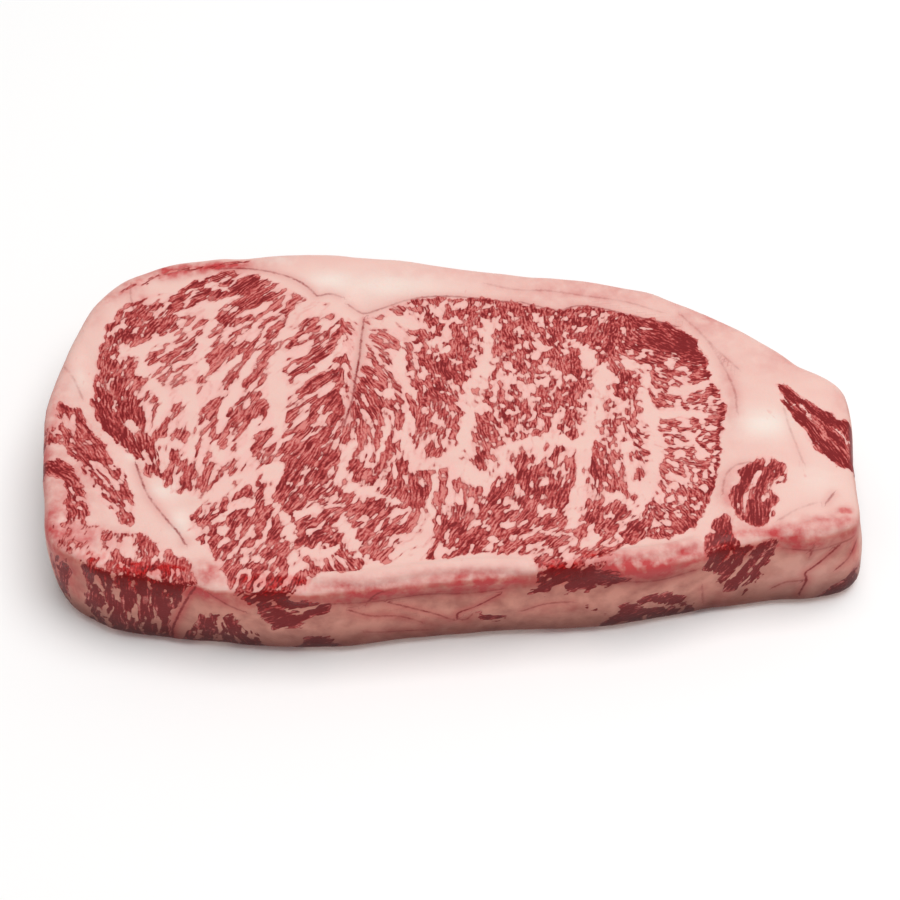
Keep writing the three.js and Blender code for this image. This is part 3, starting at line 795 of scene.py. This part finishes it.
class SteakSurfaceSettings(bpy.types.PropertyGroup):
    """Fineness and relief of the surface."""

    voxel: bpy.props.FloatProperty(
        name="Grain of the mesh", description="Edge length of its faces", default=0.81 * MM, unit="LENGTH"
    )
    flake_relief: bpy.props.FloatProperty(
        name="Flake relief", description="How far fat stands above the lean", default=0.12 * MM, unit="LENGTH"
    )


class SteakStageSettings(bpy.types.PropertyGroup):
    """Camera and studio."""

    elevation: bpy.props.FloatProperty(
        name="Elevation", description="Camera above the horizon", default=math.radians(52), subtype="ANGLE"
    )
    distance: bpy.props.FloatProperty(
        name="Distance", description="From the camera to the slice", default=700 * MM, unit="LENGTH"
    )
    lens: bpy.props.FloatProperty(name="Focal length", description="In millimetres", default=103.6)
    floor: bpy.props.FloatVectorProperty(
        name="Floor", description="Colour of the floor", default=srgb("FAFAFA"), **COLOUR
    )


class STEAK_OT_slice(bpy.types.Operator):
    """Make the slice of beef with its marbling, seams and fat"""

    bl_idname = "steak.slice"
    bl_label = "Striploin Slice"

    def execute(self, context):
        surface = context.scene.steak_surface
        slice_object = even_skin(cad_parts[CAD_NODE], surface.voxel)
        write_fields(slice_object)
        relieve(slice_object, surface.flake_relief, beef_material(context.scene))
        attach(slice_object, CAD_BODY)
        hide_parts(CAD_NODE)
        return {"FINISHED"}


def even_skin(source, voxel):
    """A copy of the solid, rounded between its facets and laid out in even small faces."""
    mesh = source.data.copy()
    skin = bmesh.new()
    skin.from_mesh(mesh)
    bmesh.ops.remove_doubles(skin, verts=skin.verts, dist=0.01 * MM)
    skin.to_mesh(mesh)
    skin.free()
    rough = bpy.data.objects.new("rough_slice", mesh)
    bpy.context.scene.collection.objects.link(rough)
    rounding = rough.modifiers.new("Rounding", "SUBSURF")
    rounding.levels = rounding.render_levels = 2
    evening = rough.modifiers.new("Evening", "REMESH")
    evening.mode = "VOXEL"
    evening.voxel_size = voxel
    settling = rough.modifiers.new("Settling", "SMOOTH")
    settling.factor = 0.5
    settling.iterations = 4
    evaluated = rough.evaluated_get(bpy.context.evaluated_depsgraph_get())
    even = bpy.data.meshes.new_from_object(evaluated)
    bpy.data.objects.remove(rough)
    even.name = "marbled_slice"
    even.shade_smooth()
    even_object = bpy.data.objects.new("marbled_slice", even)
    bpy.context.scene.collection.objects.link(even_object)
    return even_object


def write_fields(piece):
    """Stores the slice's fields as attributes of its vertices."""
    mesh = piece.data
    count = len(mesh.vertices)
    places, normals = np.zeros(count * 3, np.float32), np.zeros(count * 3, np.float32)
    mesh.vertices.foreach_get("co", places)
    mesh.vertex_normals.foreach_get("vector", normals)
    fields = slice_fields(places.reshape(-1, 3).astype(float) / MM, normals.reshape(-1, 3).astype(float))
    for name, values in fields.items():
        kind, slot = ("FLOAT_VECTOR", "vector") if values.ndim == 2 else ("FLOAT", "value")
        mesh.attributes.new(name, kind, "POINT").data.foreach_set(slot, values.astype(np.float32).ravel())


def relief_tree(material):
    """Geometry nodes that lift the skin along its normal: the fat above the lean, and the folds of fat."""
    tree = bpy.data.node_groups.new("Marbling relief", "GeometryNodeTree")
    tree.interface.new_socket("Geometry", in_out="INPUT", socket_type="NodeSocketGeometry")
    height = tree.interface.new_socket("Flake Relief", in_out="INPUT", socket_type="NodeSocketFloat")
    tree.interface.new_socket("Geometry", in_out="OUTPUT", socket_type="NodeSocketGeometry")
    entry = add_node(tree, "NodeGroupInput")
    position = add_node(tree, "GeometryNodeInputPosition").outputs[0]
    place = add_node(
        tree, "ShaderNodeVectorMath", {0: position, 1: (1 / MM,) * 3}, operation="MULTIPLY"
    ).outputs[0]
    named = {}
    for name in ("fibre", "lean", "curl", "rise", "raised"):
        kind = "FLOAT_VECTOR" if name == "fibre" else "FLOAT"
        named[name] = add_node(
            tree, "GeometryNodeInputNamedAttribute", {"Name": name}, data_type=kind
        ).outputs[0]
    field, _ = marbling(tree, place, named["fibre"], named["lean"], named["curl"])
    raised = add_node(
        tree, "ShaderNodeMapRange",
        {"Value": field, "From Min": -0.8, "From Max": 0.8, "To Min": 1.0, "To Max": 0.0},
        interpolation_type="SMOOTHSTEP",
    ).outputs[0]
    for share in (named["raised"], entry.outputs["Flake Relief"]):
        raised = add_node(tree, "ShaderNodeMath", {0: raised, 1: share}, operation="MULTIPLY").outputs[0]
    lift = add_node(
        tree, "ShaderNodeMath", {0: named["rise"], 1: MM, 2: raised}, operation="MULTIPLY_ADD"
    ).outputs[0]
    normal = add_node(tree, "GeometryNodeInputNormal").outputs[0]
    offset = add_node(tree, "ShaderNodeVectorMath", {0: normal, "Scale": lift}, operation="SCALE").outputs[0]
    moved = add_node(
        tree, "GeometryNodeSetPosition", {"Geometry": entry.outputs["Geometry"], "Offset": offset}
    )
    real = add_node(tree, "GeometryNodeRealizeInstances", {"Geometry": moved.outputs[0]})
    finished = add_node(tree, "GeometryNodeSetMaterial", {"Geometry": real.outputs[0], "Material": material})
    add_node(tree, "NodeGroupOutput", {"Geometry": finished.outputs[0]})
    return tree, height.identifier


def relieve(piece, height, material):
    """Applies the relief tree to the piece for good."""
    tree, height_socket = relief_tree(material)
    modifier = piece.modifiers.new("Marbling relief", "NODES")
    modifier.node_group = tree
    modifier[height_socket] = height
    evaluated = piece.evaluated_get(bpy.context.evaluated_depsgraph_get())
    relieved = bpy.data.meshes.new_from_object(evaluated)
    piece.modifiers.clear()
    piece.data = relieved
    relieved.shade_smooth()


MOTTLE_CELL = 3.0  # millimetres between the soft mottles of lean and fat
FINE_CELL = 0.7  # and between the small grains of the skin
LAYER_SCALE = (0.06, 0.16, 0.15)  # layers in the fat, per millimetre along X, Y and Z
PATCH_CELL = 5.5  # millimetres between the dry patches of the side
CAP_LEAN = (-3.6, -1.0)  # lean potential at which the fat is all cap fat, and at which it is all pink
FAT_TINT_REACH = (-2.6, -0.3)  # where on the marbling's scale the fat starts and ends to take the lean's tint
FAT_TINT = 0.75
LINE_STAIN = 0.35  # how far the fat is stained beside a thin line


def fat_colour(tree, colours, named, place, warped, field, stained):
    """Fat: pink between the flakes, paler and layered in the cap, whitest where it is creamy and at painted
    highlights, drier on the sides and darker there as painted shade, and stained by drip.
    """
    capped = add_node(
        tree, "ShaderNodeMapRange",
        {"Value": named["lean"], "From Min": CAP_LEAN[0], "From Max": CAP_LEAN[1],
         "To Min": 1.0, "To Max": 0.0},
    ).outputs[0]
    layers = add_node(
        tree, "ShaderNodeVectorMath", {0: warped, 1: LAYER_SCALE}, operation="MULTIPLY"
    ).outputs[0]
    layers = add_node(tree, "ShaderNodeTexNoise", {"Vector": layers, "Scale": 1.0, "Detail": 2.0}).outputs[0]
    layers = add_node(
        tree, "ShaderNodeMapRange", {"Value": layers, "From Min": 0.48, "From Max": 0.72, "To Max": 0.18}
    ).outputs[0]
    beside = add_node(
        tree, "ShaderNodeMapRange",
        {"Value": field, "From Min": FAT_TINT_REACH[0], "From Max": FAT_TINT_REACH[1], "To Max": FAT_TINT},
        interpolation_type="SMOOTHSTEP",
    ).outputs[0]
    patches = add_node(
        tree, "ShaderNodeTexNoise", {"Vector": place, "Scale": 1 / PATCH_CELL, "Detail": 4.0}
    ).outputs[0]
    patches = add_node(
        tree, "ShaderNodeMapRange", {"Value": patches, "From Min": 0.4, "From Max": 0.7, "To Max": 0.7}
    ).outputs[0]
    patches = add_node(
        tree, "ShaderNodeMath", {0: patches, 1: named["flank"]}, operation="MULTIPLY"
    ).outputs[0]
    stain = add_node(tree, "ShaderNodeMath", {0: stained, 1: named["blush"]}, operation="MULTIPLY").outputs[0]
    stain = add_node(
        tree, "ShaderNodeMath", {0: named["line_strength"], 1: LINE_STAIN, 2: stain},
        operation="MULTIPLY_ADD", use_clamp=True,
    ).outputs[0]
    fat = colours.pink
    for share, tint in (
        (capped, colours.cap),
        # whitest fat, and painted highlights
        (named["cream_and_sheen"], colours.cream_and_sheen),
        (layers, colours.tinted),
        (beside, colours.tinted),
        # the side: drier fat, and painted shade
        (named["flank"], colours.flank),
        (patches, colours.dry),
        (stain, colours.blush),
    ):
        fat = add_node(tree, "ShaderNodeMix", {0: share, 6: fat, 7: tint}, data_type="RGBA").outputs[2]
    return fat


# The lean's tone, from deep to pale: a base, and what strands, mottle, the middle of a flake, dense lean and
# the dry side, darker as painted shade, add to it. Below it, the tones at which the three colours stand.
TONE_BASE = 0.2
TONE_STRANDS = -0.2
TONE_MOTTLE = 1.0
TONE_FIELD = -0.02
TONE_DENSE = -0.14
# painted shade: the lean on the sides is drawn darker
TONE_DRY_SHADE = -0.3
DEEP_TONE = 0.25
BRIGHT_TONE = 0.56
PALE_TONE = 0.9


def lean_colour(tree, colours, named, field, strands, mottle):
    """Lean: bright in thin flakes, deep where it is dense and at a flake's rim, paler with fine fat, and
    darker on the sides as painted shade.
    """
    tone = TONE_BASE
    for source, share in (
        (strands, TONE_STRANDS),
        (mottle, TONE_MOTTLE),
        (field, TONE_FIELD),
        (named["lean"], TONE_DENSE),
        (named["flank"], TONE_DRY_SHADE),
    ):
        tone = add_node(
            tree, "ShaderNodeMath", {0: source, 1: share, 2: tone}, operation="MULTIPLY_ADD"
        ).outputs[0]
    lean = add_node(tree, "ShaderNodeValToRGB", {0: tone})
    ramp = lean.color_ramp
    ramp.elements[0].position, ramp.elements[0].color = DEEP_TONE, colours.deep
    ramp.elements[1].position, ramp.elements[1].color = PALE_TONE, colours.pale
    ramp.elements.new(BRIGHT_TONE).color = colours.bright
    rim = add_node(
        tree, "ShaderNodeMapRange",
        {"Value": field, "From Min": 0.1, "From Max": 0.8, "To Min": 0.5, "To Max": 0.0},
    ).outputs[0]
    return add_node(
        tree, "ShaderNodeMix", {0: rim, 6: lean.outputs[0], 7: colours.deep}, data_type="RGBA"
    ).outputs[2]


LINE_WOBBLE = 0.6  # millimetres, all told, by which a thin line wanders
LINE_WIDTH = (0.05, 0.5)  # millimetres from its middle at which it is darkest, and at which it ends
LINE_DEPTH = 1.5


def fissure_share(tree, named, fine, stained):
    """The thin dark lines, broken up here and there."""
    wobble = add_node(
        tree, "ShaderNodeMath", {0: fine, 1: LINE_WOBBLE, 2: -LINE_WOBBLE / 2}, operation="MULTIPLY_ADD"
    ).outputs[0]
    offset = add_node(tree, "ShaderNodeMath", {0: named["line"], 1: wobble}, operation="ADD").outputs[0]
    offset = add_node(tree, "ShaderNodeMath", {0: offset}, operation="ABSOLUTE").outputs[0]
    share = add_node(
        tree, "ShaderNodeMapRange",
        {"Value": offset, "From Min": LINE_WIDTH[0], "From Max": LINE_WIDTH[1],
         "To Min": LINE_DEPTH, "To Max": 0.0},
    ).outputs[0]
    for factor in (named["line_strength"], stained):
        share = add_node(tree, "ShaderNodeMath", {0: share, 1: factor}, operation="MULTIPLY").outputs[0]
    return share


DRIP_CELL = 1.3  # millimetres between the trickles of juice on the edge
DRIP_STRETCH = (1.0, 1.0, 0.35)  # they run downwards
DRIP_THRESHOLD = -0.16
DRIP_ON_FAT = 0.4  # fat takes this share of the juice, and lean takes all of it


def juice_share(tree, named, place, cover):
    """Juice that runs down the upper edge, more on the lean than on the fat."""
    drip = add_node(
        tree, "ShaderNodeVectorMath", {0: place, 1: DRIP_STRETCH}, operation="MULTIPLY"
    ).outputs[0]
    drip = add_node(
        tree, "ShaderNodeTexNoise", {"Vector": drip, "Scale": 1 / DRIP_CELL, "Detail": 2.0}
    ).outputs[0]
    drip = add_node(
        tree, "ShaderNodeMath", {0: named["wet"], 1: drip, 2: DRIP_THRESHOLD}, operation="MULTIPLY_ADD"
    ).outputs[0]
    drip = add_node(
        tree, "ShaderNodeMapRange", {"Value": drip, "From Min": 0.0, "From Max": 0.3},
        interpolation_type="SMOOTHSTEP",
    ).outputs[0]
    soaking = add_node(
        tree, "ShaderNodeMath", {0: cover, 1: 1 - DRIP_ON_FAT, 2: DRIP_ON_FAT}, operation="MULTIPLY_ADD"
    ).outputs[0]
    return add_node(tree, "ShaderNodeMath", {0: drip, 1: soaking}, operation="MULTIPLY").outputs[0]


COVER_SPAN = (-0.75, 0.15)  # where, on the marbling's scale, fat begins to turn into lean and is all lean
DRY_ROUGHNESS = 0.5
WET_ROUGHNESS = 0.26
FLAKE_BUMP = -0.35  # the lean lies lower than the fat


def beef_material(scene):
    """Raw beef, freshly cut: moist lean and firm fat, both a little translucent, with a soft gloss."""
    muscle, fat = scene.steak_muscle, scene.steak_fat
    material = bpy.data.materials.new("raw_marbled_beef")
    material.use_nodes = True
    tree = material.node_tree
    tree.nodes.clear()
    coordinates = add_node(tree, "ShaderNodeTexCoord").outputs["Object"]
    place = add_node(
        tree, "ShaderNodeVectorMath", {0: coordinates, 1: (1 / MM,) * 3}, operation="MULTIPLY"
    ).outputs[0]
    named = {}
    for name in ("lean", "curl", "line", "line_strength", "blush", "cream_and_sheen", "flank", "wet", "foot"):
        named[name] = add_node(tree, "ShaderNodeAttribute", attribute_name=name).outputs["Fac"]
    fibre = add_node(tree, "ShaderNodeAttribute", attribute_name="fibre").outputs["Vector"]
    field, warped = marbling(tree, place, fibre, named["lean"], named["curl"])
    strands = streak_noise(tree, warped, fibre, *STRANDS)
    field = add_node(
        tree, "ShaderNodeMath", {0: strands, 1: STRAND_SHARE, 2: field}, operation="MULTIPLY_ADD"
    ).outputs[0]
    mottle = add_node(
        tree, "ShaderNodeTexNoise", {"Vector": place, "Scale": 1 / MOTTLE_CELL, "Detail": 3.0}
    ).outputs[0]
    fine = add_node(
        tree, "ShaderNodeTexNoise", {"Vector": place, "Scale": 1 / FINE_CELL, "Detail": 2.0}
    ).outputs[0]
    stained = add_node(
        tree, "ShaderNodeMapRange", {"Value": mottle, "From Min": 0.2, "From Max": 0.7, "To Max": 0.85}
    ).outputs[0]
    cover = add_node(
        tree, "ShaderNodeMapRange", {"Value": field, "From Min": COVER_SPAN[0], "From Max": COVER_SPAN[1]},
        interpolation_type="SMOOTHSTEP",
    ).outputs[0]
    juice = juice_share(tree, named, place, cover)
    colour = fat_colour(tree, fat, named, place, warped, field, stained)
    for share, over in (
        (cover, lean_colour(tree, muscle, named, field, strands, mottle)),
        (fissure_share(tree, named, fine, stained), fat.fissure),
    ):
        colour = add_node(tree, "ShaderNodeMix", {0: share, 6: colour, 7: over}, data_type="RGBA").outputs[2]
    # Red juice laid over the colour, then painted shade at the foot of the side and beneath the folds of fat.
    for share, over in ((juice, muscle.juice), (named["foot"], fat.shade)):
        layer = add_node(
            tree, "ShaderNodeMix", {0: 1.0, 6: colour, 7: over}, data_type="RGBA", blend_type="MULTIPLY"
        ).outputs[2]
        colour = add_node(tree, "ShaderNodeMix", {0: share, 6: colour, 7: layer}, data_type="RGBA").outputs[2]
    roughness = add_node(
        tree, "ShaderNodeMapRange", {"Value": juice, "To Min": DRY_ROUGHNESS, "To Max": WET_ROUGHNESS}
    ).outputs[0]
    bump_height = add_node(
        tree, "ShaderNodeMath", {0: cover, 1: FLAKE_BUMP, 2: fine}, operation="MULTIPLY_ADD"
    ).outputs[0]
    bump = add_node(
        tree, "ShaderNodeBump", {"Strength": 0.35, "Distance": 0.25 * MM, "Height": bump_height}
    ).outputs[0]
    shader = add_node(
        tree, "ShaderNodeBsdfPrincipled",
        {"Base Color": colour, "Roughness": roughness, "Normal": bump, "Subsurface Weight": 0.12,
         "Subsurface Radius": (1.0, 0.35, 0.25), "Subsurface Scale": 0.6 * MM, "IOR": 1.4,
         "Specular IOR Level": 0.25},
    )
    add_node(tree, "ShaderNodeOutputMaterial", {"Surface": shader.outputs[0]})
    return material


class STEAK_OT_studio(bpy.types.Operator):
    """Set up the pale floor, the soft lights and the camera"""

    bl_idname = "steak.studio"
    bl_label = "Studio"

    def execute(self, context):
        scene = context.scene
        stage = scene.steak_stage
        make_floor(stage)
        make_lights(scene)
        make_camera(scene, stage)
        scene.view_settings.view_transform = "Standard"
        return {"FINISHED"}


FLOOR_SIZE = 6.0
FLOOR_GAP = 0.1 * MM  # keeps the floor clear of the slice's foot


def make_floor(stage):
    """A wide plain floor at the slice's foot, of painted board: matt, with no grain or gloss of its own."""
    bpy.ops.mesh.primitive_plane_add(size=FLOOR_SIZE, location=(0, 0, -FLOOR_GAP))
    floor = bpy.context.object
    floor.name = "floor"
    material = bpy.data.materials.new("matt_white_board")
    material.use_nodes = True
    shader = material.node_tree.nodes["Principled BSDF"]
    shader.inputs["Base Color"].default_value = stage.floor
    shader.inputs["Roughness"].default_value = 0.9
    floor.data.materials.append(material)


SURROUND = {"Color": (1.0, 0.985, 0.97, 1.0), "Strength": 0.42}
OVERHEAD_PLACE = Vector((0.25, 0.02, 1.35))
OVERHEAD_SIZE = 1.0
OVERHEAD_POWER = 15.0


def make_lights(scene):
    """A broad overhead light to the right of the slice, and a pale surround."""
    world = bpy.data.worlds.new("pale_surround")
    scene.world = world
    world.use_nodes = True
    for name, value in SURROUND.items():
        world.node_tree.nodes["Background"].inputs[name].default_value = value
    data = bpy.data.lights.new("overhead", "AREA")
    data.size = OVERHEAD_SIZE
    data.energy = OVERHEAD_POWER
    light = bpy.data.objects.new("overhead", data)
    light.location = OVERHEAD_PLACE
    light.rotation_euler = (-OVERHEAD_PLACE).to_track_quat("-Z", "Y").to_euler()
    scene.collection.objects.link(light)


CAMERA_TARGET = Vector((-0.214, 0.263, 12.0)) * MM


def make_camera(scene, stage):
    """The photograph's view: from the front, looking down."""
    data = bpy.data.cameras.new("camera")
    data.sensor_width = 36.0
    data.lens = stage.lens
    camera = bpy.data.objects.new("camera", data)
    back = Vector((0, -math.cos(stage.elevation), math.sin(stage.elevation)))
    camera.location = CAMERA_TARGET + back * stage.distance
    camera.rotation_euler = (-back).to_track_quat("-Z", "Y").to_euler()
    scene.collection.objects.link(camera)
    scene.camera = camera


class STEAK_PT_sidebar(bpy.types.Panel):
    """Settings and makers of the steak"""

    bl_idname = "STEAK_PT_sidebar"
    bl_label = "Raw Striploin Steak"
    bl_space_type = "VIEW_3D"
    bl_region_type = "UI"
    bl_category = "Steak"

    def draw(self, context):
        layout = self.layout
        for group in SETTINGS:
            settings = getattr(context.scene, group)
            box = layout.box()
            for name in settings.__annotations__:
                box.prop(settings, name)
        for operator in MAKERS:
            layout.operator(operator)


SETTINGS = {
    "steak_muscle": SteakMuscleSettings,
    "steak_fat": SteakFatSettings,
    "steak_surface": SteakSurfaceSettings,
    "steak_stage": SteakStageSettings,
}
MAKERS = (STEAK_OT_slice.bl_idname, STEAK_OT_studio.bl_idname)
CLASSES = (*SETTINGS.values(), STEAK_OT_slice, STEAK_OT_studio, STEAK_PT_sidebar)


def register():
    for each in CLASSES:
        bpy.utils.register_class(each)
    for name, group in SETTINGS.items():
        setattr(bpy.types.Scene, name, bpy.props.PointerProperty(type=group))


def unregister():
    for name in SETTINGS:
        delattr(bpy.types.Scene, name)
    for each in reversed(CLASSES):
        bpy.utils.unregister_class(each)


def main():
    register()
    bpy.ops.steak.slice()
    bpy.ops.steak.studio()


if __name__ == "__main__":
    main()
